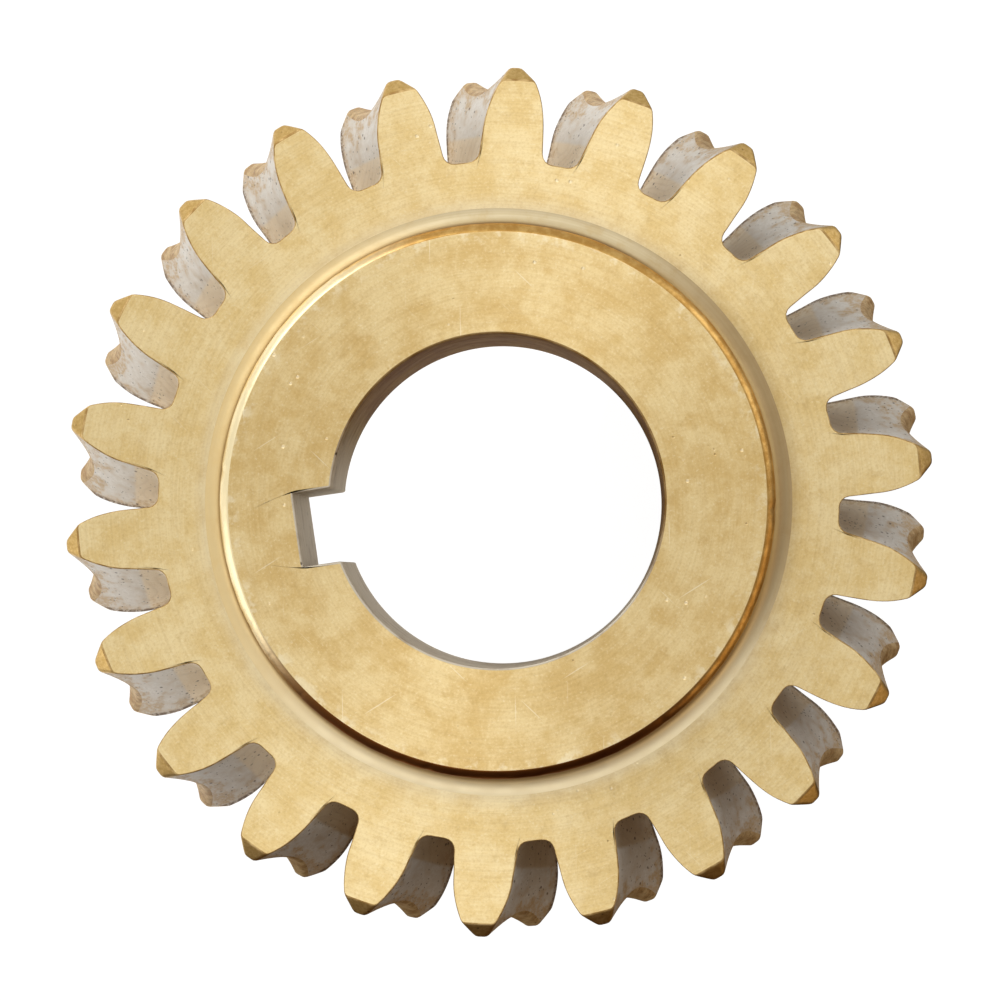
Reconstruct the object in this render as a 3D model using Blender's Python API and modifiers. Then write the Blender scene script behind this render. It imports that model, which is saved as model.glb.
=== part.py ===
"""Bronze worm wheel: 22 twisted teeth on a throated rim, one hub with a boss on each side
and a keyed bore.

Frame, in metres: the wheel lies flat with its axis along +Z and its origin on that axis,
at the middle of the face width. The keyway opens from the bore towards -X, and one tooth
stands within a degree of it at mid-width.
"""
import math

import bpy
from mathutils import Vector

INCH = 0.0254

# Driving dimensions
TEETH = 22
CIRCULAR_PITCH = 0.375 * INCH
FACE_WIDTH = 0.625 * INCH
HUB_LENGTH = 1.0 * INCH
HUB_DIAMETER = 1.875 * INCH
BORE_DIAMETER = 1.125 * INCH
KEY_WIDTH = 0.25 * INCH
KEYWAY_TO_FAR_WALL = 1.241 * INCH   # keyway floor to the far side of the bore, ANSI B17.1

# Rim
PITCH_RADIUS = TEETH * CIRCULAR_PITCH / (2 * math.pi)
ADDENDUM = 0.3 * CIRCULAR_PITCH
THROAT_RADIUS = PITCH_RADIUS + ADDENDUM
THROAT_ARC_RADIUS = 0.0160          # the hollow of the rim, which wraps round the worm
TIP_CHAMFER = 0.0012

# Tooth gaps: a wedge-shaped slot with a rounded floor, whose sides curve open to the tips
SLOT_HALF_WIDTH = 0.00209           # at the flank start radius, on the wheel's faces
SLOT_FLOOR_RADIUS = 0.0290          # from the wheel's axis, at mid-width
SLOT_FLOOR_ARC_RADIUS = 0.070
SLOT_CORNER_RADIUS = 0.0010
SIDE_ANGLE = math.radians(12)       # between the slot's side and its centre line
FLANK_START_RADIUS = 0.0326         # the sides are straight up to here
FLANK_CURVE_RADIUS = 0.0095
TIP_ANGLE = math.radians(40)        # where the curve ends and a straight run to the tip begins
FLANK_ARC_RADIUS = 0.040            # the flanks lie closer to the axis at mid-width
TWIST_PER_METRE = math.radians(425)       # at the pitch radius, left hand
TWIST_GROWTH = math.radians(13000)        # more twist towards the tips, per metre squared
TOOTH_PHASE = math.radians(0.8)

# Small features
HUB_EDGE_ROUND = 0.0006
BOSS_FILLET = 0.0015
BORE_EDGE_BREAK = 0.0002

# Resolution
TURNING_STEPS = 3 * TEETH
EDGE_STEPS = 2
FILLET_STEPS = 3
THROAT_STEPS = 3                    # on each side of mid-width
CORNER_STEPS = 2
FLANK_STEPS = 5
WIDTH_STEPS = 4

# Cutter overshoots
RIM_OVERSHOOT = 0.0008
FACE_OVERSHOOT = 0.0006
HUB_OVERSHOOT = 0.003

SMOOTH_ANGLE = math.radians(32)
MERGE_DISTANCE = 0.000001

BORE_RADIUS = BORE_DIAMETER / 2
HUB_RADIUS = HUB_DIAMETER / 2
HALF_FACE = FACE_WIDTH / 2
HALF_HUB = HUB_LENGTH / 2
RIM_EDGE_Z = HALF_FACE - TIP_CHAMFER


def arc_sag(radius, z):
    """How far a hollow of this radius stands out at height z, against mid-width."""
    return radius - math.sqrt(radius ** 2 - z ** 2)


OUTER_RADIUS = THROAT_RADIUS + arc_sag(THROAT_ARC_RADIUS, RIM_EDGE_Z)


def clear_scene():
    for obj in list(bpy.data.objects):
        bpy.data.objects.remove(obj, do_unlink=True)


def make_collection(name):
    collection = bpy.data.collections.new(name)
    bpy.context.scene.collection.children.link(collection)
    return collection


def make_object(name, mesh, collection):
    obj = bpy.data.objects.new(name, mesh)
    collection.objects.link(obj)
    return obj


def make_bronze():
    material = bpy.data.materials.new("machined_bronze")
    material.use_nodes = True
    shader = material.node_tree.nodes["Principled BSDF"]
    shader.inputs["Base Color"].default_value = (0.68, 0.49, 0.23, 1.0)
    shader.inputs["Metallic"].default_value = 1.0
    shader.inputs["Roughness"].default_value = 0.36
    material.diffuse_color = (0.68, 0.49, 0.23, 1.0)
    return material


def arc(centre, radius, start, end, steps):
    """Points on a circle from one angle in degrees to another, ends included."""
    angles = [math.radians(start + (end - start) * i / steps) for i in range(steps + 1)]
    return [(centre[0] + radius * math.cos(a), centre[1] + radius * math.sin(a)) for a in angles]


def upper_half_profile():
    """(radius, z) points from the bore, over the upper boss and rim face, to mid-width."""
    points = [(BORE_RADIUS, HALF_HUB - BORE_EDGE_BREAK), (BORE_RADIUS + BORE_EDGE_BREAK, HALF_HUB)]
    edge_centre = (HUB_RADIUS - HUB_EDGE_ROUND, HALF_HUB - HUB_EDGE_ROUND)
    points += arc(edge_centre, HUB_EDGE_ROUND, 90, 0, EDGE_STEPS)
    fillet_centre = (HUB_RADIUS + BOSS_FILLET, HALF_FACE + BOSS_FILLET)
    points += arc(fillet_centre, BOSS_FILLET, 180, 270, FILLET_STEPS)
    points.append((OUTER_RADIUS - TIP_CHAMFER, HALF_FACE))
    for i in range(THROAT_STEPS + 1):
        z = RIM_EDGE_Z * (1 - i / THROAT_STEPS)
        points.append((THROAT_RADIUS + arc_sag(THROAT_ARC_RADIUS, z), z))
    return points


def make_blank(collection):
    """The turned blank: one closed profile spun round the axis."""
    upper = upper_half_profile()
    lower = [(radius, -z) for radius, z in reversed(upper[:-1])]
    profile = upper + lower
    mesh = bpy.data.meshes.new("worm_wheel")
    vertices = [(radius, 0, z) for radius, z in profile]
    edges = [(i, (i + 1) % len(profile)) for i in range(len(profile))]
    mesh.from_pydata(vertices, edges, [])
    blank = make_object("worm_wheel", mesh, collection)
    screw = blank.modifiers.new("Turn", 'SCREW')
    screw.axis = 'Z'
    screw.angle = math.tau
    screw.steps = screw.render_steps = TURNING_STEPS
    screw.use_merge_vertices = True
    screw.merge_threshold = MERGE_DISTANCE
    return blank


def half_gap(rise):
    """Half the gap's width at a height above the flank's start."""
    if rise <= 0:
        return SLOT_HALF_WIDTH + rise * math.tan(SIDE_ANGLE)
    curve_height = FLANK_CURVE_RADIUS * (math.sin(TIP_ANGLE) - math.sin(SIDE_ANGLE))
    sine = math.sin(SIDE_ANGLE) + min(rise, curve_height) / FLANK_CURVE_RADIUS
    cosine = math.sqrt(1 - sine ** 2)
    curved = FLANK_CURVE_RADIUS * (math.cos(SIDE_ANGLE) - cosine)
    straight = max(rise - curve_height, 0) * math.tan(TIP_ANGLE)
    return SLOT_HALF_WIDTH + curved + straight


def gap_half_outline(z):
    """(distance from the axis, half width) of a tooth gap at height z, floor to mouth."""
    floor = SLOT_FLOOR_RADIUS + arc_sag(SLOT_FLOOR_ARC_RADIUS, z)
    start = FLANK_START_RADIUS + arc_sag(FLANK_ARC_RADIUS, z) - arc_sag(FLANK_ARC_RADIUS, HALF_FACE)
    side_degrees = math.degrees(SIDE_ANGLE)
    corner_height = floor + SLOT_CORNER_RADIUS
    wall = half_gap(corner_height - start)
    corner_centre = (corner_height, wall - SLOT_CORNER_RADIUS / math.cos(SIDE_ANGLE))
    points = arc(corner_centre, SLOT_CORNER_RADIUS, 180, 90 + side_degrees, CORNER_STEPS)
    mouth = THROAT_RADIUS + arc_sag(THROAT_ARC_RADIUS, min(abs(z), RIM_EDGE_Z)) + RIM_OVERSHOOT
    for i in range(FLANK_STEPS + 1):
        radius = start + (mouth - start) * i / FLANK_STEPS
        points.append((radius, half_gap(radius - start)))
    return points


def gap_section(z, direction):
    """The closed outline of one gap at height z, turned to its direction and twisted."""
    half = gap_half_outline(z)
    outline = half + [(radius, -width) for radius, width in reversed(half)]
    section = []
    for along, across in outline:
        radius = math.hypot(along, across)
        twist = TWIST_PER_METRE + TWIST_GROWTH * (radius - PITCH_RADIUS)
        angle = direction + math.atan2(across, along) - twist * z
        section.append(Vector((radius * math.cos(angle), radius * math.sin(angle), z)))
    return section


def make_gap_cutter(collection):
    """All the tooth gaps: each is a loft through outlines that twist and change shape."""
    reach = HALF_FACE + FACE_OVERSHOOT
    heights = [reach * (2 * i / WIDTH_STEPS - 1) for i in range(WIDTH_STEPS + 1)]
    vertices, faces = [], []
    for gap in range(TEETH):
        direction = math.pi + TOOTH_PHASE + math.tau * (gap + 0.5) / TEETH
        sections = [gap_section(z, direction) for z in heights]
        first, count = len(vertices), len(sections[0])
        for section in sections:
            vertices += section
        for level in range(WIDTH_STEPS):
            for i in range(count):
                a = first + level * count + i
                b = first + level * count + (i + 1) % count
                faces.append((a, a + count, b + count, b))
        faces.append([first + i for i in range(count)])
        top = first + WIDTH_STEPS * count
        faces.append([top + i for i in reversed(range(count))])
    mesh = bpy.data.meshes.new("tooth_gaps")
    mesh.from_pydata(vertices, [], faces)
    return make_object("tooth_gaps", mesh, collection)


def make_keyway_cutter(collection):
    floor_x = KEYWAY_TO_FAR_WALL - BORE_RADIUS
    size = (floor_x, KEY_WIDTH, HUB_LENGTH + 2 * HUB_OVERSHOOT)
    bpy.ops.mesh.primitive_cube_add(size=1, location=(-floor_x / 2, 0, 0))
    cutter = bpy.context.active_object
    cutter.name = cutter.data.name = "keyway"
    cutter.scale = size
    for owner in list(cutter.users_collection):
        owner.objects.unlink(cutter)
    collection.objects.link(cutter)
    return cutter


def cut(blank, cutter):
    cutter.hide_render = True
    cutter.display_type = 'WIRE'
    boolean = blank.modifiers.new("Cut " + cutter.name, 'BOOLEAN')
    boolean.operation = 'DIFFERENCE'
    boolean.solver = 'EXACT'
    boolean.object = cutter


def finish_surface(obj, material):
    """Turn the modifiers' result into the object's own mesh, and shade it."""
    graph = bpy.context.evaluated_depsgraph_get()
    mesh = bpy.data.meshes.new_from_object(obj.evaluated_get(graph))
    obj.modifiers.clear()
    obj.data = mesh
    mesh.name = obj.name
    mesh.materials.clear()
    mesh.materials.append(material)
    mesh.shade_smooth()
    mesh.set_sharp_from_angle(angle=SMOOTH_ANGLE)


def main():
    clear_scene()
    parts = make_collection("worm_wheel_parts")
    cutters = make_collection("worm_wheel_cutters")
    wheel = make_blank(parts)
    cut(wheel, make_gap_cutter(cutters))
    cut(wheel, make_keyway_cutter(cutters))
    finish_surface(wheel, make_bronze())


main()
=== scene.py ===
"""Looks for the bronze worm wheel: one fine mesh in place of the CAD node, its materials,
soft studio light, a pale backdrop and a camera that looks down on the front boss.

The frame is the CAD's: metres, the wheel's axis along +Z, the origin on the axis at the
middle of the face width, and the keyway towards -X. Materials work in millimetres.
"""
import math

import bpy
import numpy as np
from mathutils import Matrix, Vector


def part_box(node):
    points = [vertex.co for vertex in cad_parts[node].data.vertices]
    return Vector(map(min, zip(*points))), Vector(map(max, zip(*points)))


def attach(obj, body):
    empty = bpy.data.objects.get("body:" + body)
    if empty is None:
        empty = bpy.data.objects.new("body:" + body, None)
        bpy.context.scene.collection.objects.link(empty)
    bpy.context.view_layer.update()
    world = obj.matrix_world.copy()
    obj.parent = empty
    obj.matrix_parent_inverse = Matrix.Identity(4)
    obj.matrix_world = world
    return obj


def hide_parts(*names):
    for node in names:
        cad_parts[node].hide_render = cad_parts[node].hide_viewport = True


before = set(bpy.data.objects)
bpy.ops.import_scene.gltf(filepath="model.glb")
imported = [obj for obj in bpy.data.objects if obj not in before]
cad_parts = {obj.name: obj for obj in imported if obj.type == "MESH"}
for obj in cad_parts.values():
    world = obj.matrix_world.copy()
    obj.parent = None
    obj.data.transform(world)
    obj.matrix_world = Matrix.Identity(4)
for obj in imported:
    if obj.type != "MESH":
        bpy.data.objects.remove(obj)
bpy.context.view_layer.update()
wheel_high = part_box("worm_wheel")[1]

MM = 0.001
TAU = math.tau
UP, DOWN = 1, -1

# The wheel, as its CAD source has it
TEETH = 22
HALF_PITCH_ANGLE = math.pi / TEETH            # from a gap's middle to a tooth's middle
PITCH = 9.525 * MM
HALF_HUB = wheel_high.z
HALF_FACE = 7.9375 * MM
HUB_RADIUS = 23.8125 * MM
BORE_RADIUS = 14.2875 * MM
KEY_HALF_WIDTH = 3.175 * MM
KEYWAY_DEPTH = 31.521 * MM - BORE_RADIUS      # floor of the keyway, from the axis
PITCH_RADIUS = TEETH * PITCH / TAU
THROAT_RADIUS = PITCH_RADIUS + 0.3 * PITCH
THROAT_ARC_RADIUS = 16.0 * MM
TIP_CHAMFER = 1.2 * MM
RIM_EDGE_Z = HALF_FACE - TIP_CHAMFER
SLOT_HALF_WIDTH = 2.09 * MM
SLOT_FLOOR_RADIUS = 29.0 * MM
SLOT_FLOOR_ARC_RADIUS = 70.0 * MM
SLOT_CORNER_RADIUS = 1.0 * MM
SIDE_ANGLE = math.radians(12)
FLANK_START_RADIUS = 32.6 * MM
FLANK_CURVE_RADIUS = 9.5 * MM
TIP_ANGLE = math.radians(40)
FLANK_ARC_RADIUS = 40.0 * MM
TWIST_PER_METRE = math.radians(425)
TWIST_GROWTH = math.radians(13000)            # more twist per metre of radius
TOOTH_PHASE = math.radians(0.8)
BOSS_FILLET = 1.5 * MM

# Finer shapes than the CAD has
SUPPORT = 0.06 * MM                           # a flat face stays flat up to here from its edge
TOOTH_EDGE_ROUND = 0.10 * MM
TIP_EDGE_ROUND = 0.30 * MM
CHAMFER_BLEND = 0.20 * MM
BORE_EDGE_ROUND = 0.14 * MM
KEYWAY_MOUTH_ROUND = 0.30 * MM
ANGLE_SPREAD = math.radians(0.06)             # from one tooth gap to the next
WIDTH_SPREAD = 0.03 * MM
SHIFT_FADE = 3                                # a gap's shift fades over the last third before a tooth
FLANK_WAVE = 0.012 * MM
RIPPLE_LENGTH = 0.55 * MM
RIPPLE_SLANT = 0.9 * MM
HUB_EDGE_ROUND = 0.75 * MM
CHAMFER_SHARE = 0.7                           # of the boss edge: 0 is round, 1 a chamfer
HUB_EDGE_WAVE = 0.020 * MM
HUB_WAVE_TURNS = (9, 90)                      # whole waves round the edge
HUB_WAVES = 10
HUB_DENTS = 16
HUB_DENT_SIZES = (0.25, 1)                    # share of the full depth and width
HUB_DENT_DEPTH = 0.10 * MM
HUB_DENT_WIDTH = 0.020                        # radians
GAP_SEED, WAVE_SEED, DENT_SEED = 11, 21, 31

# Mesh: columns go round the wheel, rings go over its section
FLOOR_STEPS, CORNER_STEPS, FLANK_STEPS, TIP_STEPS, LAND_STEPS = 2, 4, 12, 3, 3
HALF_GAP_STEPS = FLOOR_STEPS + CORNER_STEPS + FLANK_STEPS + TIP_STEPS + LAND_STEPS
COLUMNS = TEETH * 2 * HALF_GAP_STEPS
COLUMN_ANGLES = math.pi + TAU * np.arange(COLUMNS) / COLUMNS
KEYWAY_FLOOR_STEPS, KEYWAY_WALL_STEPS, KEYWAY_MOUTH_STEPS = 10, 10, 6
MOUTH_PASSES = 6
EDGE_STEPS = 3
HUB_EDGE_STEPS = 6
FILLET_STEPS = 8
WALL_RING_UP = 0.9 * MM                       # above the fillet
BORE_LEVELS = 4
BOSS_SHARES = (0, 0.3, 0.7, 1)                # rings over the boss, from the bore to its edge
RIM_SHARES = (0.3, 0.65, 1)                   # rings over the rim, from the fillet to the teeth
NEAR_CHAMFER_MM = (0.75, 0.4, 0.15, 0.05, -0.05, -0.15)       # rings, from its inner edge up
BELOW_CHAMFER = 0.5 * MM                      # evenly spaced rings start here
THROAT_LEVELS = 7
SMOOTH_ANGLE = math.radians(38)
ZONES = ("rim", "boss", "edge", "fillet", "side", "tip", "bore")

# Materials: radii in mm, and sides in degrees clockwise from the picture's top
HUB_MM = HUB_RADIUS / MM
SLOT_CREASE = 32.2                            # the milled slots give way to the cut flanks here
SLOT_SLANT = 0.07                             # and lie this much further in for each mm up
PAINTED_SHADOW_SIDE = 75                                # the boss's foot has a painted shadow here
PAINTED_BOTTOM_SIDE = 184                               # the boss's edge has painted shade here, and the fillet a painted highlight
PAINTED_LEFT_SIDE = 282                               # the boss's edge has a painted highlight here, and the fillet golden painted shading
BORE_PAINTED_HIGHLIGHT_SIDE = 200                          # the bore has a painted highlight here

# View and light: directions are (degrees clockwise from the picture's top, degrees of height)
CAMERA_ROLL = math.radians(8.3)
RIGHT = Vector((math.cos(CAMERA_ROLL), -math.sin(CAMERA_ROLL), 0))
TOP = Vector((math.sin(CAMERA_ROLL), math.cos(CAMERA_ROLL), 0))
CAMERA_PLACE = RIGHT * 9.4 * MM - TOP * 6.4 * MM + Vector((0, 0, 472.7 * MM))
CAMERA_TARGET = RIGHT * 0.03 * MM + TOP * 0.21 * MM
CAMERA_LENS = 193.6
SENSOR_WIDTH = 36.0
NEAREST, FARTHEST = 0.01, 10
LIGHT_DISTANCE = 0.9
WHITE, WARM = (1, 1, 1), (1.0, 0.74, 0.42)
LIGHTS = (                                    # name, direction, width, height, brightness, colour
    ("overhead_top", 12, 57, 0.42, 0.60, 0.78, WHITE),
    ("overhead_bottom", 195, 55, 0.42, 0.60, 1.02, WHITE),
    ("window", 322, 26, 0.8, 0.40, 2.0, WHITE),
    ("side_left", 250, 6, 0.50, 0.40, 1.2, WHITE),
    ("side_top_right", 60, 8, 0.75, 0.35, 1.25, WHITE),
    ("side_right", 116, 5, 0.80, 0.30, 1.1, WARM),
)
ROOM_BRIGHT_SIDE = (330, 35)
ROOM_RANGE = (-0.90, 0.65)                    # cosines of the angle from that side, dark to bright
ROOM_DARK = (0.07, 0.032, 0.009, 1.0)
ROOM_BRIGHT = (0.86, 0.86, 0.84, 1.0)
FLOOR_GAP = 0.2 * MM                          # the wheel doesn't share a plane with the floor
CARD_RADIUS = 0.09
CARD_SHIFT = 0.085
CARD_AZIMUTH = 296
CARD_SIDES = 64
BACKDROP_RADIUS, BACKDROP_BEND, BACKDROP_HEIGHT = 1.6, 0.5, 2.0
BACKDROP_RINGS = (0.05, 0.2, 0.6)             # on its flat part
BACKDROP_SIDES, BACKDROP_BEND_STEPS = 96, 8


def arc_sag(radius, z):
    """How far a hollow of this radius stands out at height z, against mid-width."""
    return radius - math.sqrt(radius ** 2 - z ** 2)


def smooth_minimum(a, b, width):
    """The lower of two values, blended over width where they cross."""
    overlap = max(width - abs(a - b), 0) / width
    return min(a, b) - overlap ** 2 * width / 4


def curve_point(start, corner, end, t):
    """A point of the round that runs from start to end inside a corner, for t from 0 to 1."""
    return tuple(a * (1 - t) ** 2 + b * 2 * t * (1 - t) + c * t ** 2
                 for a, b, c in zip(start, corner, end))


def rim_radius(z):
    """The turned rim: a hollow throat between two chamfers."""
    outer = THROAT_RADIUS + arc_sag(THROAT_ARC_RADIUS, RIM_EDGE_Z)
    chamfer = outer + RIM_EDGE_Z - abs(z)
    return smooth_minimum(THROAT_RADIUS + arc_sag(THROAT_ARC_RADIUS, z), chamfer, CHAMFER_BLEND)


def half_gap(rise):
    """Half a tooth gap's width at a height above the start of the flank."""
    if rise <= 0:
        return SLOT_HALF_WIDTH + rise * math.tan(SIDE_ANGLE)
    curve_height = FLANK_CURVE_RADIUS * (math.sin(TIP_ANGLE) - math.sin(SIDE_ANGLE))
    sine = math.sin(SIDE_ANGLE) + min(rise, curve_height) / FLANK_CURVE_RADIUS
    curved = FLANK_CURVE_RADIUS * (math.cos(SIDE_ANGLE) - math.sqrt(1 - sine ** 2))
    return SLOT_HALF_WIDTH + curved + max(rise - curve_height, 0) * math.tan(TIP_ANGLE)


def flank_start(z):
    """The radius where the slot's straight side ends; it is least at mid-width."""
    return FLANK_START_RADIUS + arc_sag(FLANK_ARC_RADIUS, z) - arc_sag(FLANK_ARC_RADIUS, HALF_FACE)


def slot_floor(z, start, widen):
    """(along, across) points from the middle of a gap's floor over its round corner."""
    floor = SLOT_FLOOR_RADIUS + arc_sag(SLOT_FLOOR_ARC_RADIUS, z)
    corner_height = floor + SLOT_CORNER_RADIUS
    wall = half_gap(corner_height - start) + widen
    corner_across = wall - SLOT_CORNER_RADIUS / math.cos(SIDE_ANGLE)
    points = [(floor, corner_across * i / FLOOR_STEPS) for i in range(FLOOR_STEPS)]
    for i in range(CORNER_STEPS + 1):
        turn = math.pi + (SIDE_ANGLE - math.pi / 2) * i / CORNER_STEPS
        points.append((corner_height + SLOT_CORNER_RADIUS * math.cos(turn),
                       corner_across + SLOT_CORNER_RADIUS * math.sin(turn)))
    return points


def gap_mouth(rim, start, widen):
    """How far along the gap its side meets the rim, closed in on by repeated passes."""
    mouth = rim
    for _ in range(MOUTH_PASSES):
        mouth = math.sqrt(rim ** 2 - (half_gap(mouth - start) + widen) ** 2)
    return mouth


def flank(lowest, highest, z, start, widen, wave):
    """Points up a tooth's side, with a faint ripple that fades out at both ends."""
    points = []
    for i in range(1, FLANK_STEPS + 1):
        along = lowest + (highest - lowest) * i / FLANK_STEPS
        ripple = FLANK_WAVE * math.sin(along / RIPPLE_LENGTH + wave + z / RIPPLE_SLANT)
        fade = math.sin(math.pi * i / FLANK_STEPS)
        points.append((along, half_gap(along - start) + widen + ripple * fade))
    return points


def tooth_tip(before, corner, rim):
    """Points round the tip's edge and over the land, up to the tooth's middle."""
    land_start = math.atan2(corner[1], corner[0]) + TIP_EDGE_ROUND / rim
    land = (rim * math.cos(land_start), rim * math.sin(land_start))
    points = [curve_point(before, corner, land, i / TIP_STEPS) for i in range(1, TIP_STEPS + 1)]
    for i in range(1, LAND_STEPS + 1):
        turn = land_start + (HALF_PITCH_ANGLE - land_start) * i / LAND_STEPS
        points.append((rim * math.cos(turn), rim * math.sin(turn)))
    return points


def gap_side(z, widen, wave):
    """(along, across) points of one side of a gap, from its floor's middle to the tooth's middle.
    widen opens the gap, and wave shifts its flank's ripple."""
    start = flank_start(z)
    rim = rim_radius(z)
    mouth = gap_mouth(rim, start, widen)
    points = slot_floor(z, start, widen)
    points += flank(points[-1][0], mouth - TIP_EDGE_ROUND, z, start, widen, wave)
    corner = (mouth, half_gap(mouth - start) + widen)
    return points + tooth_tip(points[-1], corner, rim)


def toothed_outline(z):
    """The wheel's outline at height z, anticlockwise from the middle of the first tooth."""
    random = np.random.default_rng(GAP_SEED)
    points = []
    for gap in range(TEETH):
        direction_of_gap = math.pi + TOOTH_PHASE + TAU * (gap + 0.5) / TEETH
        shift, widen = random.uniform(-1, 1, 2) * (ANGLE_SPREAD, WIDTH_SPREAD)
        first, second = (gap_side(z, widen, wave) for wave in random.uniform(0, TAU, 2))
        for along, across in [(a, -b) for a, b in reversed(first[1:])] + second[:-1]:
            radius = math.hypot(along, across)
            turn = math.atan2(across, along)
            twist = TWIST_PER_METRE + TWIST_GROWTH * (radius - PITCH_RADIUS)
            from_tooth = (HALF_PITCH_ANGLE - abs(turn)) / HALF_PITCH_ANGLE
            shifted = shift * min(1.0, max(0.0, from_tooth * SHIFT_FADE))
            angle = direction_of_gap + turn + shifted - twist * z
            points.append((radius * math.cos(angle), radius * math.sin(angle)))
    return np.array(points)


def inset(outline, distance):
    """The outline moved inwards, along its own normals; outlines run anticlockwise."""
    along = np.roll(outline, -1, axis=0) - np.roll(outline, 1, axis=0)
    along /= np.linalg.norm(along, axis=1)[:, None]
    return outline + np.column_stack((-along[:, 1], along[:, 0])) * distance


def at_height(outline, z):
    """The outline as a ring of 3-D points; z is one height or one for each point."""
    return np.column_stack((outline, np.full(len(outline), z) if np.isscalar(z) else z))


def toothed_ring(z, distance=0.0):
    """The toothed outline at height z, moved inwards by a distance."""
    return at_height(inset(toothed_outline(z), distance), z)


def circle(radius, z):
    """A ring of the wheel's columns; radius and z may vary round it."""
    radius = radius * np.ones(COLUMNS)
    plan = np.column_stack((radius * np.cos(COLUMN_ANGLES), radius * np.sin(COLUMN_ANGLES)))
    return at_height(plan, z * np.ones(COLUMNS))


def between(inner, outer, share):
    """A ring part of the way from one to the other, in polar coordinates."""
    radii = [np.hypot(ring[:, 0], ring[:, 1]) for ring in (inner, outer)]
    turns = [np.arctan2(ring[:, 1], ring[:, 0]) for ring in (inner, outer)]
    turn = turns[0] + ((turns[1] - turns[0] + math.pi) % TAU - math.pi) * share
    radius = radii[0] + (radii[1] - radii[0]) * share
    height = inner[:, 2] + (outer[:, 2] - inner[:, 2]) * share
    return np.column_stack((radius * np.cos(turn), radius * np.sin(turn), height))


def bore_outline():
    """The bore and its keyway, anticlockwise from the middle of the keyway's floor."""
    mouth_x = -math.sqrt(BORE_RADIUS ** 2 - (KEY_HALF_WIDTH + KEYWAY_MOUTH_ROUND) ** 2)
    mouth_turn = math.atan2(-KEY_HALF_WIDTH - KEYWAY_MOUTH_ROUND, mouth_x)
    wall_end = (mouth_x - KEYWAY_MOUTH_ROUND, -KEY_HALF_WIDTH)
    corner = (mouth_x, -KEY_HALF_WIDTH)
    bore_start = (BORE_RADIUS * math.cos(mouth_turn), BORE_RADIUS * math.sin(mouth_turn))
    points = [(-KEYWAY_DEPTH, -KEY_HALF_WIDTH * i / KEYWAY_FLOOR_STEPS)
              for i in range(KEYWAY_FLOOR_STEPS)]
    for i in range(KEYWAY_WALL_STEPS):
        x = -KEYWAY_DEPTH + (wall_end[0] + KEYWAY_DEPTH) * i / KEYWAY_WALL_STEPS
        points.append((x, -KEY_HALF_WIDTH))
    for i in range(KEYWAY_MOUTH_STEPS):
        points.append(curve_point(wall_end, corner, bore_start, i / KEYWAY_MOUTH_STEPS))
    arc_steps = COLUMNS // 2 - len(points)
    for i in range(arc_steps):
        turn = mouth_turn - mouth_turn * i / arc_steps
        points.append((BORE_RADIUS * math.cos(turn), BORE_RADIUS * math.sin(turn)))
    mirrored = [(x, -y) for x, y in reversed(points[1:])]
    return np.array(points + [(BORE_RADIUS, 0)] + mirrored)


def rounded_steps(size, steps):
    """(inset, depth) pairs over a rounded edge, from the face to the side."""
    turns = [math.pi / 2 * i / steps for i in range(steps + 1)]
    return [(size * (1 - math.sin(turn)), size * (1 - math.cos(turn))) for turn in turns]


def worn_chamfer(size, steps):
    """(inset, depth) pairs over a chamfer whose corners are worn round."""
    pairs = []
    for i, (distance, depth) in enumerate(rounded_steps(size, steps)):
        level = size * i / steps
        pairs.append((distance + (size - level - distance) * CHAMFER_SHARE,
                      depth + (level - depth) * CHAMFER_SHARE))
    return pairs


def edge_wave(seed):
    """A smooth wave round the boss's edge, about -1 to 1, made of whole turns."""
    random = np.random.default_rng(seed)
    turns = random.integers(*HUB_WAVE_TURNS, HUB_WAVES)
    starts = random.uniform(0, TAU, HUB_WAVES)
    return np.sin(np.outer(COLUMN_ANGLES, turns) + starts).sum(axis=1) / math.sqrt(HUB_WAVES)


def edge_dents(seed):
    """Small dents at random places round the boss's edge, 0 to 1."""
    random = np.random.default_rng(seed)
    depth = np.zeros(COLUMNS)
    centres = random.uniform(0, TAU, HUB_DENTS)
    for centre, size in zip(centres, random.uniform(*HUB_DENT_SIZES, HUB_DENTS)):
        away = (COLUMN_ANGLES - centre + math.pi) % TAU - math.pi
        depth = np.maximum(depth, size * np.exp(-(away / (HUB_DENT_WIDTH * size)) ** 2))
    return depth


def hub_face(side):
    """Rings over one boss, from the bore's edge out, each with the zone that follows it."""
    bore = bore_outline()
    rings = []
    for distance, depth in rounded_steps(BORE_EDGE_ROUND, EDGE_STEPS)[::-1]:
        rings.append((at_height(inset(bore, -distance), side * (HALF_HUB - depth)), "bore"))
    inner = at_height(inset(bore, -BORE_EDGE_ROUND - SUPPORT), side * HALF_HUB)
    outer = circle(HUB_RADIUS - HUB_EDGE_ROUND - SUPPORT, side * HALF_HUB)
    rings += [(between(inner, outer, share), "boss") for share in BOSS_SHARES]
    wave = HUB_EDGE_WAVE * edge_wave(WAVE_SEED + side)
    dent = HUB_DENT_DEPTH * edge_dents(DENT_SEED + side)
    for distance, depth in worn_chamfer(HUB_EDGE_ROUND, HUB_EDGE_STEPS):
        share = depth / HUB_EDGE_ROUND * (1 - 0.5 * depth / HUB_EDGE_ROUND)
        radius = HUB_RADIUS - distance + (wave - dent) * share
        rings.append((circle(radius, side * (HALF_HUB - depth - dent * share)), "edge"))
    return rings


def boss_foot(side):
    """Rings down the boss's wall and over the fillet at its foot."""
    wall_end = side * (HALF_FACE + BOSS_FILLET + WALL_RING_UP)
    rings = [(circle(HUB_RADIUS, wall_end), "edge")]
    for up, out in rounded_steps(BOSS_FILLET, FILLET_STEPS):
        rings.append((circle(HUB_RADIUS + out, side * (HALF_FACE + up)), "fillet"))
    rings.append((circle(HUB_RADIUS + BOSS_FILLET + SUPPORT, side * HALF_FACE), "rim"))
    return rings


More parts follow.
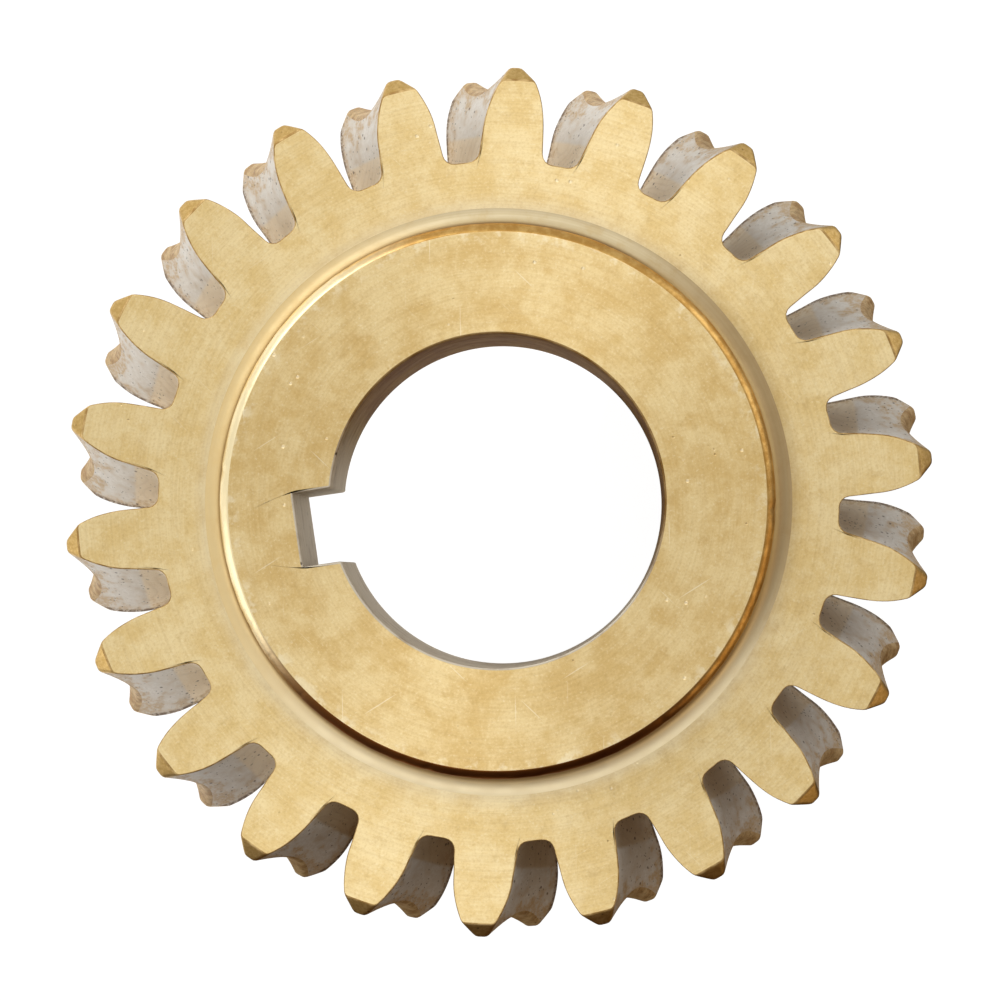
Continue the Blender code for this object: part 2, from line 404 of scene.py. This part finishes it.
def rim_face(side, foot):
    """Rings over the flat rim face, out to the teeth and round their edges."""
    outer = toothed_ring(side * HALF_FACE, TOOTH_EDGE_ROUND + SUPPORT)
    rings = [(between(foot, outer, share), "rim") for share in RIM_SHARES]
    for distance, depth in rounded_steps(TOOTH_EDGE_ROUND, EDGE_STEPS):
        rings.append((toothed_ring(side * (HALF_FACE - depth), distance), "edge"))
    return rings


def side_heights():
    """Heights of the rings down the teeth, close together over the chamfers' edges."""
    upper = [RIM_EDGE_Z + offset * MM for offset in NEAR_CHAMFER_MM]
    upper += list(np.linspace(RIM_EDGE_Z - BELOW_CHAMFER, 0, THROAT_LEVELS))
    return upper + [-z for z in reversed(upper[:-1])]


def wheel_rings():
    """Every ring of the closed mesh, and the zone of the strip that follows each."""
    reach = HALF_HUB - BORE_EDGE_ROUND
    heights = np.linspace(-reach, reach, BORE_LEVELS)[1:-1]
    faces = {}
    for side in (UP, DOWN):
        inner = hub_face(side) + boss_foot(side)
        faces[side] = inner + rim_face(side, inner[-1][0])
    under = faces[DOWN][::-1]
    under_zones = [zone for _, zone in under[1:]] + ["bore"]
    rings = [(at_height(bore_outline(), z), "bore") for z in heights] + faces[UP]
    rings[-1] = (rings[-1][0], "side")
    rings += [(toothed_ring(z), "side") for z in side_heights()]
    return rings + [(ring, zone) for (ring, _), zone in zip(under, under_zones)]


def is_tip_column():
    """Which columns run over the lands and tips of the teeth."""
    from_tooth = np.arange(2 * HALF_GAP_STEPS)
    tip = TIP_STEPS + LAND_STEPS
    pattern = (from_tooth < tip) | (from_tooth >= 2 * HALF_GAP_STEPS - tip)
    return np.tile(pattern, TEETH)


def signed_volume(points, faces):
    """Above zero when the four-cornered faces look outwards."""
    a, b, c, d = (points[faces[:, k]] for k in range(4))
    halves = ((a, b, c), (a, c, d))
    return sum(np.einsum("ij,ij->i", p, np.cross(q, r)).sum() for p, q, r in halves) / 6


def ring_strips(rings):
    """Faces between each ring and the next, round to the first again, and their zones."""
    column = np.arange(COLUMNS)
    after = (column + 1) % COLUMNS
    tips = is_tip_column()
    faces, zones = [], []
    for i, (_, zone) in enumerate(rings):
        here = i * COLUMNS
        there = (i + 1) % len(rings) * COLUMNS
        faces.append(np.column_stack((here + column, here + after, there + after, there + column)))
        index = np.full(COLUMNS, ZONES.index(zone))
        if zone == "side":
            index[tips] = ZONES.index("tip")
        zones.append(index)
    return np.concatenate(faces), np.concatenate(zones)


def build_wheel(materials):
    """The whole wheel as one closed mesh, with one material for each zone."""
    rings = wheel_rings()
    points = np.concatenate([ring for ring, _ in rings])
    faces, zones = ring_strips(rings)
    if signed_volume(points, faces) < 0:
        faces = faces[:, ::-1]
    mesh = bpy.data.meshes.new("bronze_wheel")
    mesh.from_pydata(points.tolist(), [], faces.tolist())
    for material in materials:
        mesh.materials.append(material)
    mesh.polygons.foreach_set("material_index", zones.astype(np.int32))
    mesh.shade_smooth()
    mesh.set_sharp_from_angle(angle=SMOOTH_ANGLE)
    wheel = bpy.data.objects.new("bronze_wheel", mesh)
    bpy.context.scene.collection.objects.link(wheel)
    return wheel


def direction(azimuth, elevation):
    """Unit vector for degrees clockwise from the picture's top, and degrees of height."""
    around, up = math.radians(azimuth), math.radians(elevation)
    flat = RIGHT * math.sin(around) + TOP * math.cos(around)
    return flat * math.cos(up) + Vector((0, 0, math.sin(up)))


def srgb(red, green, blue):
    """A colour as it shows on screen, 0 to 255, made linear for a shader."""
    linear = [((c / 255 + 0.055) / 1.055) ** 2.4 for c in (red, green, blue)]
    return (*linear, 1.0)


class Finish:
    """One material's node tree, with a short call for each kind of node used here."""

    def __init__(self, name, roughness, metallic):
        self.material = bpy.data.materials.new(name)
        self.material.use_nodes = True
        self.tree = self.material.node_tree
        self.shader = self.tree.nodes["Principled BSDF"]
        self.shader.inputs["Roughness"].default_value = roughness
        self.shader.inputs["Metallic"].default_value = metallic
        coordinates = self.node("ShaderNodeTexCoord").outputs["Object"]
        self.place = self.vector_math("MULTIPLY", coordinates, (1000, 1000, 1000))
        parts = self.node("ShaderNodeSeparateXYZ")
        self.put(parts.inputs[0], self.place)
        self.x, self.y, self.z = parts.outputs
        flat = self.join(self.x, self.y, 0.0)
        self.radius = self.vector_math("LENGTH", flat)
        self.outwards = self.vector_math("NORMALIZE", flat)

    def node(self, kind, **settings):
        """A new node with these settings."""
        made = self.tree.nodes.new(kind)
        for name, value in settings.items():
            setattr(made, name, value)
        return made

    def put(self, socket, value):
        """Link an output to the socket, or give the socket a plain value."""
        if isinstance(value, bpy.types.NodeSocket):
            self.tree.links.new(value, socket)
        else:
            socket.default_value = value

    def math(self, operation, *values):
        """Arithmetic on numbers."""
        made = self.node("ShaderNodeMath", operation=operation)
        for socket, value in zip(made.inputs, values):
            self.put(socket, value)
        return made.outputs[0]

    def times(self, first, second):
        return self.math("MULTIPLY", first, second)

    def plus(self, first, second):
        return self.math("ADD", first, second)

    def larger(self, first, second):
        return self.math("MAXIMUM", first, second)

    def vector_math(self, operation, *values):
        """Arithmetic on vectors; two of the operations give a number."""
        made = self.node("ShaderNodeVectorMath", operation=operation)
        for socket, value in zip(made.inputs, values):
            self.put(socket, value)
        return made.outputs["Value" if operation in ("LENGTH", "DOT_PRODUCT") else "Vector"]

    def join(self, x, y, z):
        """A vector from three numbers."""
        made = self.node("ShaderNodeCombineXYZ")
        for socket, value in zip(made.inputs, (x, y, z)):
            self.put(socket, value)
        return made.outputs[0]

    def noise(self, place, scale, detail=3.0, roughness=0.55):
        """Cloudy noise, about 0.25 to 0.75; scale is in patches for each unit of place."""
        made = self.node("ShaderNodeTexNoise")
        self.put(made.inputs["Vector"], place)
        made.inputs["Scale"].default_value = scale
        made.inputs["Detail"].default_value = detail
        made.inputs["Roughness"].default_value = roughness
        return made.outputs["Fac"]

    def cells(self, place, scale):
        """Distance from the nearest of many scattered points."""
        made = self.node("ShaderNodeTexVoronoi")
        self.put(made.inputs["Vector"], place)
        made.inputs["Scale"].default_value = scale
        return made.outputs["Distance"]

    def ramp(self, value, start, end, low=0.0, high=1.0):
        """low at start, high at end, and a smooth change between; start may be above end."""
        made = self.node("ShaderNodeMapRange", interpolation_type='SMOOTHSTEP')
        for socket, given in zip(made.inputs, (value, start, end, low, high)):
            self.put(socket, given)
        return made.outputs[0]

    def mix(self, factor, first, second):
        """The first colour where the factor is 0, and the second where it is 1."""
        made = self.node("ShaderNodeMix", data_type='RGBA')
        for socket, value in zip((made.inputs[0], made.inputs[6], made.inputs[7]),
                                 (factor, first, second)):
            self.put(socket, value)
        return made.outputs[2]

    def stretched(self, along, across):
        """Coordinates for streaks that follow the turning: long round the axis, short outwards."""
        around = self.vector_math("MULTIPLY", self.outwards, (along, along, along))
        out = self.join(0.0, 0.0, self.times(self.radius, across))
        height = self.join(0.0, 0.0, self.times(self.z, across))
        return self.vector_math("ADD", self.vector_math("ADD", around, out), height)

    def side(self, azimuth, start, end):
        """1 on one side of the axis, fading round it; start and end are cosines."""
        facing = self.vector_math("DOT_PRODUCT", self.outwards, direction(azimuth, 0))
        return self.ramp(facing, start, end)

    def specks(self, place, scale, size, share):
        """Scattered small spots, 1 inside: only those where a second noise is above share."""
        spots = self.ramp(self.cells(place, scale), size, size * 0.4)
        kept = self.ramp(self.noise(place, scale * 0.31, 1.0), share, share + 0.06)
        return self.times(spots, kept)

    def scratches(self, angle, length, width):
        """Thin tapered scratches at scattered places, all about one way, 1 inside."""
        # A cell is four needles long and wide, and taller than the wheel
        needles = self.node("ShaderNodeMapping", vector_type='TEXTURE')
        self.put(needles.inputs["Vector"], self.place)
        needles.inputs["Rotation"].default_value = (0, 0, math.radians(angle))
        needles.inputs["Scale"].default_value = (length * 4, width * 4, 200)
        return self.ramp(self.cells(needles.outputs[0], 1.0), 0.125, 0.06)

    def bump(self, height, distance, strength=1.0, under=None):
        """A bumped normal; distance is in metres, and under is a normal to build on."""
        made = self.node("ShaderNodeBump")
        made.inputs["Distance"].default_value = distance
        made.inputs["Strength"].default_value = strength
        self.put(made.inputs["Height"], height)
        if under is not None:
            self.put(made.inputs["Normal"], under)
        return made.outputs[0]

    def turned(self, amount):
        """Stretched highlights across the lay of the turning."""
        tangent = self.node("ShaderNodeTangent", direction_type='RADIAL', axis='Z')
        self.put(self.shader.inputs["Tangent"], tangent.outputs[0])
        self.shader.inputs["Anisotropic"].default_value = amount
        self.shader.inputs["Anisotropic Rotation"].default_value = 0.25

    def finish(self, colour, roughness=None, normal=None, metallic=None):
        """Join what is given to the shader, and hand over the material."""
        self.put(self.shader.inputs["Base Color"], colour)
        for name, value in (("Roughness", roughness), ("Normal", normal), ("Metallic", metallic)):
            if value is not None:
                self.put(self.shader.inputs[name], value)
        return self.material


def turned_tone(m, light, deep, rings, clouds, patina):
    """Cloudy bronze from deep to light, with faint rings, grain and browner patches."""
    grain = m.noise(m.place, 4.5, 3.0, 0.7)
    tone = m.mix(m.ramp(clouds, 0.34, 0.66), deep, light)
    tone = m.mix(m.ramp(rings, 0.62, 0.30, 0.0, 0.13), tone, srgb(170, 130, 66))
    tone = m.mix(m.ramp(grain, 0.50, 0.34, 0.0, 0.16), tone, srgb(178, 134, 70))
    tone = m.mix(m.ramp(grain, 0.55, 0.72, 0.0, 0.30), tone, srgb(255, 242, 208))
    return m.mix(m.ramp(patina, 0.55, 0.72, 0.0, 0.24), tone, srgb(186, 150, 84))


def handling_scrapes(m, marks):
    """Bright scratches three ways, in patches; marks is how strong they are."""
    scrapes = m.larger(m.scratches(24, 4.0, 0.13), m.scratches(-52, 3.0, 0.11))
    scrapes = m.larger(scrapes, m.scratches(83, 5.0, 0.12))
    handled = m.ramp(m.noise(m.place, 0.12, 2.0), 0.45, 0.60)
    return m.times(scrapes, m.times(handled, marks))


def foot_and_edge(m, tone, foot_sheen):
    """The tone outside the boss's foot, a painted pale sheen with a painted shadow on one side, and
    pale rubbed patches inside its edge that are partly a painted highlight.
    """
    # Painted pale sheen outside the boss's foot, turning to a brown painted shadow on one side
    foot = m.ramp(m.radius, HUB_MM + 3.0, HUB_MM + 1.1, 0.0, foot_sheen)
    painted_shadow = m.side(PAINTED_SHADOW_SIDE, 0.6, 0.97)
    tone = m.mix(foot, tone, m.mix(painted_shadow, srgb(240, 230, 204), srgb(150, 122, 78)))
    # Pale patches inside the boss's edge: partly wear and partly painted highlight
    rub_and_glint = m.ramp(m.radius, HUB_MM - 2.0, HUB_MM - 0.9)
    rub_and_glint = m.times(rub_and_glint, m.ramp(m.radius, HUB_MM + 0.4, HUB_MM))
    rub_and_glint = m.times(rub_and_glint, m.ramp(m.noise(m.place, 0.8, 3.0, 0.6), 0.50, 0.64, 0.0, 0.4))
    return m.mix(rub_and_glint, tone, srgb(255, 244, 214))


def turned_face(name, light, deep, lay_depth, marks, foot_sheen=0.0):
    """A turned bronze face: fine rings, cloudy tone, small nicks and a few scratches."""
    m = Finish(name, roughness=0.36, metallic=1.0)
    m.turned(0.75)
    rings = m.noise(m.stretched(3.0, 5.0), 1.0, 3.0, 0.6)
    fine = m.noise(m.stretched(16.0, 9.0), 1.0, 2.0, 0.6)
    clouds = m.noise(m.place, 0.34, 5.0, 0.66)
    patina = m.noise(m.place, 0.75, 5.0, 0.72)
    nicks = m.specks(m.place, 0.7, 0.14, 0.58)
    pits = m.specks(m.place, 0.8, 0.10, 0.58)
    bright = m.larger(nicks, handling_scrapes(m, marks))
    tone = turned_tone(m, light, deep, rings, clouds, patina)
    tone = m.mix(m.times(bright, 0.45), tone, srgb(255, 243, 214))
    tone = foot_and_edge(m, tone, foot_sheen)
    tone = m.mix(m.times(pits, 0.4), tone, srgb(120, 84, 40))
    lay = m.plus(m.times(rings, 0.6), m.times(fine, 0.4))
    normal = m.bump(clouds, 0.00006, 0.6, m.bump(lay, lay_depth))
    normal = m.bump(m.larger(nicks, pits), -0.00005, 0.7, normal)
    rough = m.plus(m.ramp(patina, 0.3, 0.7, 0.32, 0.42), m.times(bright, -0.06))
    return m.finish(tone, rough, normal)


def rim_bronze():
    """The flat face of the rim and the teeth, with a painted pale sheen outside the boss's foot."""
    light, deep = srgb(243, 220, 168), srgb(231, 202, 141)
    return turned_face("rim_bronze", light, deep, lay_depth=0.000008, marks=0.4, foot_sheen=0.35)


def boss_bronze():
    """The flat face of the boss: smoother than the rim, and more scratched."""
    light, deep = srgb(237, 212, 158), srgb(220, 188, 126)
    return turned_face("boss_bronze", light, deep, lay_depth=0.000004, marks=1.0)


def fillet_bronze():
    """The fillet at the boss's foot: duller than the faces, with a painted highlight at the bottom,
    golden painted shading on the left, a painted shadow on one side, and a painted dark line of shade
    along the wall that turns to a painted pale line on the shadow side."""
    m = Finish("fillet_bronze", roughness=0.5, metallic=1.0)
    rings = m.noise(m.stretched(2.0, 7.0), 1.0, 2.0, 0.6)
    cloud = m.noise(m.place, 0.7, 4.0, 0.65)
    tone = m.mix(m.ramp(rings, 0.3, 0.7), srgb(208, 191, 154), srgb(216, 201, 167))
    tone = m.mix(m.ramp(cloud, 0.5, 0.75, 0.0, 0.5), tone, srgb(206, 182, 134))
    # Painted highlight on the bottom of the fillet, and golden painted shading on its left
    tone = m.mix(m.side(PAINTED_BOTTOM_SIDE, 0.1, 0.8), tone, srgb(250, 233, 194))
    tone = m.mix(m.times(m.side(PAINTED_LEFT_SIDE, 0.3, 0.9), 0.8), tone, srgb(224, 198, 144))
    # Painted shadow of the boss on this side of the fillet
    painted_shadow = m.side(PAINTED_SHADOW_SIDE, 0.6, 0.97)
    tone = m.mix(m.times(painted_shadow, 0.75), tone, srgb(158, 130, 86))
    # Painted dark line of shade in the corner along the wall, and a painted pale line on the shadow
    # side
    corner = m.ramp(m.radius, HUB_MM + 0.55, HUB_MM + 0.15, 0.0, 0.75)
    tone = m.mix(corner, tone, m.mix(painted_shadow, srgb(112, 78, 40), srgb(224, 206, 160)))
    return m.finish(tone, m.ramp(cloud, 0.3, 0.7, 0.50, 0.58), m.bump(rings, 0.000005))


def edge_bronze():
    """Edges: golden brown by the boss, partly a painted reflection, with painted shade at the bottom
    and a painted highlight on the left, and browned by the teeth, most of all at the back."""
    m = Finish("edge_bronze", roughness=0.33, metallic=1.0)
    wear = m.noise(m.place, 0.9, 4.0, 0.65)
    # Golden brown that is partly a painted reflection, with a painted highlight on the left and
    # painted shade at the bottom
    boss = m.mix(m.ramp(wear, 0.38, 0.68), srgb(180, 136, 70), srgb(206, 166, 98))
    boss = m.mix(m.side(PAINTED_LEFT_SIDE, 0.45, 0.85), boss, srgb(246, 228, 184))
    boss = m.mix(m.side(PAINTED_BOTTOM_SIDE, 0.45, 0.85), boss, srgb(112, 66, 30))
    teeth = m.mix(m.ramp(wear, 0.38, 0.68), srgb(160, 126, 74), srgb(208, 178, 124))
    teeth = m.mix(m.ramp(m.z, -4.0, -7.0, 0.0, 0.8), teeth, srgb(112, 84, 50))
    outer = m.ramp(m.radius, 26.0, 28.0)
    rough = m.plus(m.ramp(wear, 0.3, 0.7, 0.36, 0.28), m.times(outer, 0.2))
    return m.finish(m.mix(outer, boss, teeth), rough, m.bump(wear, 0.00002))


def cut_skin(m, fine, cloud, slot, tall):
    """Grey flanks with brownish clouds, and browner slots with faint arcs from their cutter."""
    skin = m.mix(m.ramp(fine, 0.3, 0.75), srgb(200, 192, 180), srgb(222, 218, 212))
    skin = m.mix(m.ramp(cloud, 0.45, 0.72, 0.0, 0.6), skin, srgb(180, 156, 122))
    tone = m.mix(m.times(slot, 0.8), skin, srgb(220, 203, 174))
    arcs = m.math("SINE", m.times(m.noise(tall, 0.16, 0.0), 90.0))
    arcs = m.times(slot, m.ramp(arcs, 0.2, 1.0, 0.0, 0.09))
    return m.mix(arcs, tone, srgb(140, 112, 76))


def tan_stains(m, tone, fine, cloud):
    """Uneven tan stains by the tips and the back, and a dark line along the back edge."""
    uneven = m.plus(m.radius, m.ramp(cloud, 0.25, 0.75, -1.8, 1.4))
    near_tip = m.ramp(uneven, 34.4, 36.2)
    below = m.times(m.z, -1.0)
    near_back = m.ramp(m.plus(below, m.ramp(cloud, 0.25, 0.75, -2.0, 1.5)), 4.6, 7.0)
    stain = m.larger(near_tip, m.times(near_back, 0.8))
    stain = m.times(stain, m.ramp(fine, 0.36, 0.56, 0.25, 1.0))
    tone = m.mix(m.times(stain, 0.7), tone, srgb(184, 152, 104))
    line = m.times(m.ramp(below, 6.9, 7.5), m.ramp(fine, 0.40, 0.55, 0.2, 0.9))
    return m.mix(line, tone, srgb(96, 70, 42))


def flank_bronze():
    """Cut flanks: a dull grey skin with specks and tan stains, and slots of barer metal."""
    m = Finish("flank_bronze", roughness=0.5, metallic=0.45)
    tall = m.vector_math("MULTIPLY", m.place, (1.0, 1.0, 0.45))
    fine = m.noise(tall, 3.2, 4.0, 0.7)
    cloud = m.noise(tall, 0.8, 4.0, 0.65)
    cuts = m.noise(m.stretched(20.0, 1.2), 1.0, 2.0)
    slanted = m.plus(m.radius, m.times(m.z, SLOT_SLANT))
    slot = m.ramp(slanted, SLOT_CREASE + 0.15, SLOT_CREASE - 0.25)
    tone = cut_skin(m, fine, cloud, slot, tall)
    tone = tan_stains(m, tone, fine, cloud)
    specks = m.larger(m.specks(tall, 1.1, 0.20, 0.50), m.specks(tall, 2.4, 0.24, 0.47))
    tone = m.mix(m.times(specks, 0.8), tone, srgb(74, 54, 34))
    normal = m.bump(fine, 0.00003, 0.7, m.bump(cuts, 0.00003, 0.5))
    metallic = m.plus(0.45, m.times(slot, 0.5))
    return m.finish(tone, m.ramp(fine, 0.3, 0.7, 0.42, 0.60), normal, metallic)


def tip_bronze():
    """Chamfers of a deep golden brown, and the hollow throat, stained between them."""
    m = Finish("tip_bronze", roughness=0.38, metallic=1.0)
    rings = m.noise(m.stretched(3.0, 5.0), 1.0, 3.0, 0.6)
    grain = m.noise(m.place, 3.2, 4.0, 0.7)
    cloud = m.noise(m.place, 0.9, 4.0, 0.65)
    gold = m.mix(m.ramp(grain, 0.35, 0.7), srgb(182, 148, 86), srgb(206, 174, 114))
    stain = m.mix(m.ramp(cloud, 0.35, 0.65), srgb(164, 128, 80), srgb(200, 172, 126))
    stain = m.mix(m.ramp(grain, 0.5, 0.36, 0.0, 0.45), stain, srgb(96, 70, 40))
    throat = m.ramp(m.math("ABSOLUTE", m.z), 6.9, 6.5)
    tone = m.mix(throat, gold, stain)
    tone = m.mix(m.times(m.specks(m.place, 1.3, 0.2, 0.5), 0.7), tone, srgb(96, 66, 30))
    rough = m.plus(m.ramp(rings, 0.3, 0.7, 0.32, 0.42), m.times(throat, 0.16))
    metallic = m.math("SUBTRACT", 1.0, m.times(throat, 0.5))
    return m.finish(tone, rough, m.bump(grain, 0.00003, 0.6, m.bump(rings, 0.00001)), metallic)


def bore_bronze():
    """The bore and keyway: bored smooth and browned, with a painted highlight on one side as a pale
    patch and whiter reflections, and small pits.
    """
    m = Finish("bore_bronze", roughness=0.5, metallic=0.7)
    # Painted highlight on one side: whiter reflections through the specular tint
    painted_highlight = m.side(BORE_PAINTED_HIGHLIGHT_SIDE, -0.3, 0.4)
    grazing = m.mix(painted_highlight, srgb(172, 138, 66), srgb(240, 232, 218))
    m.put(m.shader.inputs["Specular Tint"], grazing)
    rings = m.noise(m.stretched(1.5, 3.0), 1.0, 3.0, 0.6)
    cloud = m.noise(m.place, 0.35, 4.0, 0.65)
    tone = m.mix(m.ramp(cloud, 0.35, 0.65), srgb(118, 86, 44), srgb(156, 128, 86))
    tone = m.mix(m.ramp(rings, 0.4, 0.8, 0.0, 0.4), tone, srgb(104, 76, 40))
    # Pale painted highlight patch on that side
    painted_highlight_patch = m.times(painted_highlight, m.ramp(cloud, 0.3, 0.5, 0.5, 0.9))
    tone = m.mix(painted_highlight_patch, tone, srgb(206, 196, 178))
    pits = m.specks(m.place, 1.0, 0.2, 0.53)
    tone = m.mix(m.times(pits, 0.8), tone, srgb(56, 40, 26))
    normal = m.bump(rings, 0.00001, 0.6, m.bump(pits, -0.00008, 0.6))
    return m.finish(tone, m.ramp(rings, 0.3, 0.7, 0.4, 0.55), normal)


def wheel_materials():
    """In the order of ZONES."""
    return [rim_bronze(), boss_bronze(), edge_bronze(), fillet_bronze(), flank_bronze(),
            tip_bronze(), bore_bronze()]


def softbox(name, azimuth, elevation, width, height, brightness, colour):
    """A rectangular light aimed at the wheel; brightness is what a mirror would show of it."""
    lamp = bpy.data.lights.new(name, 'AREA')
    lamp.shape = 'RECTANGLE'
    lamp.size, lamp.size_y = width, height
    lamp.energy = brightness * math.pi * width * height
    lamp.color = colour
    holder = bpy.data.objects.new(name, lamp)
    towards = direction(azimuth, elevation)
    holder.location = towards * LIGHT_DISTANCE
    holder.rotation_euler = towards.to_track_quat('Z', 'Y').to_euler()
    bpy.context.scene.collection.objects.link(holder)


def make_world():
    """A plain studio's light: brighter from the picture's upper left than from its lower right."""
    world = bpy.data.worlds.new("studio")
    world.use_nodes = True
    bpy.context.scene.world = world
    tree = world.node_tree
    coordinates = tree.nodes.new("ShaderNodeTexCoord")
    dot = tree.nodes.new("ShaderNodeVectorMath")
    dot.operation = 'DOT_PRODUCT'
    dot.inputs[1].default_value = direction(*ROOM_BRIGHT_SIDE)
    tree.links.new(coordinates.outputs["Generated"], dot.inputs[0])
    share = tree.nodes.new("ShaderNodeMapRange")
    share.interpolation_type = 'SMOOTHSTEP'
    for socket, value in zip(share.inputs[1:], (*ROOM_RANGE, 0.0, 1.0)):
        socket.default_value = value
    tree.links.new(dot.outputs["Value"], share.inputs[0])
    colour = tree.nodes.new("ShaderNodeMix")
    colour.data_type = 'RGBA'
    colour.inputs[6].default_value = ROOM_DARK
    colour.inputs[7].default_value = ROOM_BRIGHT
    tree.links.new(share.outputs[0], colour.inputs[0])
    tree.links.new(colour.outputs[2], tree.nodes["Background"].inputs["Color"])


def glowing_matte(name, grey, glow, specular):
    """A matte grey material that also gives off white light."""
    material = bpy.data.materials.new(name)
    material.use_nodes = True
    shader = material.node_tree.nodes["Principled BSDF"]
    shader.inputs["Base Color"].default_value = (grey, grey, grey, 1)
    shader.inputs["Roughness"].default_value = 1.0
    shader.inputs["Specular IOR Level"].default_value = specular
    shader.inputs["Emission Color"].default_value = (1, 1, 1, 1)
    shader.inputs["Emission Strength"].default_value = glow
    return material


def circle_points(radius, z, sides):
    """Points round the Z axis."""
    turns = [TAU * i / sides for i in range(sides)]
    return [(radius * math.cos(turn), radius * math.sin(turn), z) for turn in turns]


def staging_object(name, points, faces, material):
    """An object of the set, which is no part of the wheel."""
    mesh = bpy.data.meshes.new(name)
    mesh.from_pydata(points, [], faces)
    mesh.materials.append(material)
    made = bpy.data.objects.new(name, mesh)
    bpy.context.scene.collection.objects.link(made)
    return made


def make_bounce_card():
    """A white card under the wheel, which the bronze reflects and the camera doesn't see."""
    centre = direction(CARD_AZIMUTH, 0) * CARD_SHIFT
    card_z = -HALF_HUB - FLOOR_GAP / 2
    points = [(centre.x + x, centre.y + y, z)
              for x, y, z in circle_points(CARD_RADIUS, card_z, CARD_SIDES)]
    white = glowing_matte("white_card", grey=0.9, glow=0.35, specular=0.5)
    card = staging_object("bounce_card", points, [list(range(CARD_SIDES))], white)
    card.visible_camera = False


def backdrop_profile():
    """(radius, height) pairs out over the floor, up its bend and to the top of the wall."""
    flat = BACKDROP_RADIUS - BACKDROP_BEND
    profile = [(radius, 0.0) for radius in (*BACKDROP_RINGS, flat)]
    for i in range(1, BACKDROP_BEND_STEPS + 1):
        turn = math.pi / 2 * i / BACKDROP_BEND_STEPS
        profile.append((flat + BACKDROP_BEND * math.sin(turn),
                        BACKDROP_BEND - BACKDROP_BEND * math.cos(turn)))
    return profile + [(BACKDROP_RADIUS, BACKDROP_HEIGHT)]


def make_backdrop():
    """A pale floor that curves up into a wall, seen by the camera and not by the bronze."""
    floor_z = -HALF_HUB - FLOOR_GAP
    sides = BACKDROP_SIDES
    profile = backdrop_profile()
    points = [(0, 0, floor_z)]
    for radius, height in profile:
        points += circle_points(radius, floor_z + height, sides)
    faces = [(0, 1 + i, 1 + (i + 1) % sides) for i in range(sides)]
    for level in range(len(profile) - 1):
        first, second = 1 + level * sides, 1 + (level + 1) * sides
        for i in range(sides):
            j = (i + 1) % sides
            faces.append((first + i, second + i, second + j, first + j))
    paper = glowing_matte("pale_paper", grey=0.2, glow=0.95, specular=0.0)
    backdrop = staging_object("backdrop", points, faces, paper)
    backdrop.data.shade_smooth()
    for ray in ("diffuse", "glossy", "transmission", "shadow"):
        setattr(backdrop, "visible_" + ray, False)


def make_camera():
    """A long lens above the wheel, a little to its lower right, turned a few degrees."""
    data = bpy.data.cameras.new("camera")
    data.lens = CAMERA_LENS
    data.sensor_width = SENSOR_WIDTH
    data.clip_start, data.clip_end = NEAREST, FARTHEST
    camera = bpy.data.objects.new("camera", data)
    backwards = (CAMERA_PLACE - CAMERA_TARGET).normalized()
    across = TOP.cross(backwards).normalized()
    up = backwards.cross(across)
    turn = Matrix((across, up, backwards)).transposed().to_4x4()
    camera.matrix_world = Matrix.Translation(CAMERA_PLACE) @ turn
    bpy.context.scene.collection.objects.link(camera)
    bpy.context.scene.camera = camera


def main():
    """The wheel first, and then the set round it."""
    wheel = build_wheel(wheel_materials())
    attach(wheel, "root")
    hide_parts("worm_wheel")
    for light in LIGHTS:
        softbox(*light)
    make_world()
    make_backdrop()
    make_bounce_card()
    make_camera()
    bpy.context.scene.view_settings.view_transform = 'Standard'


main()
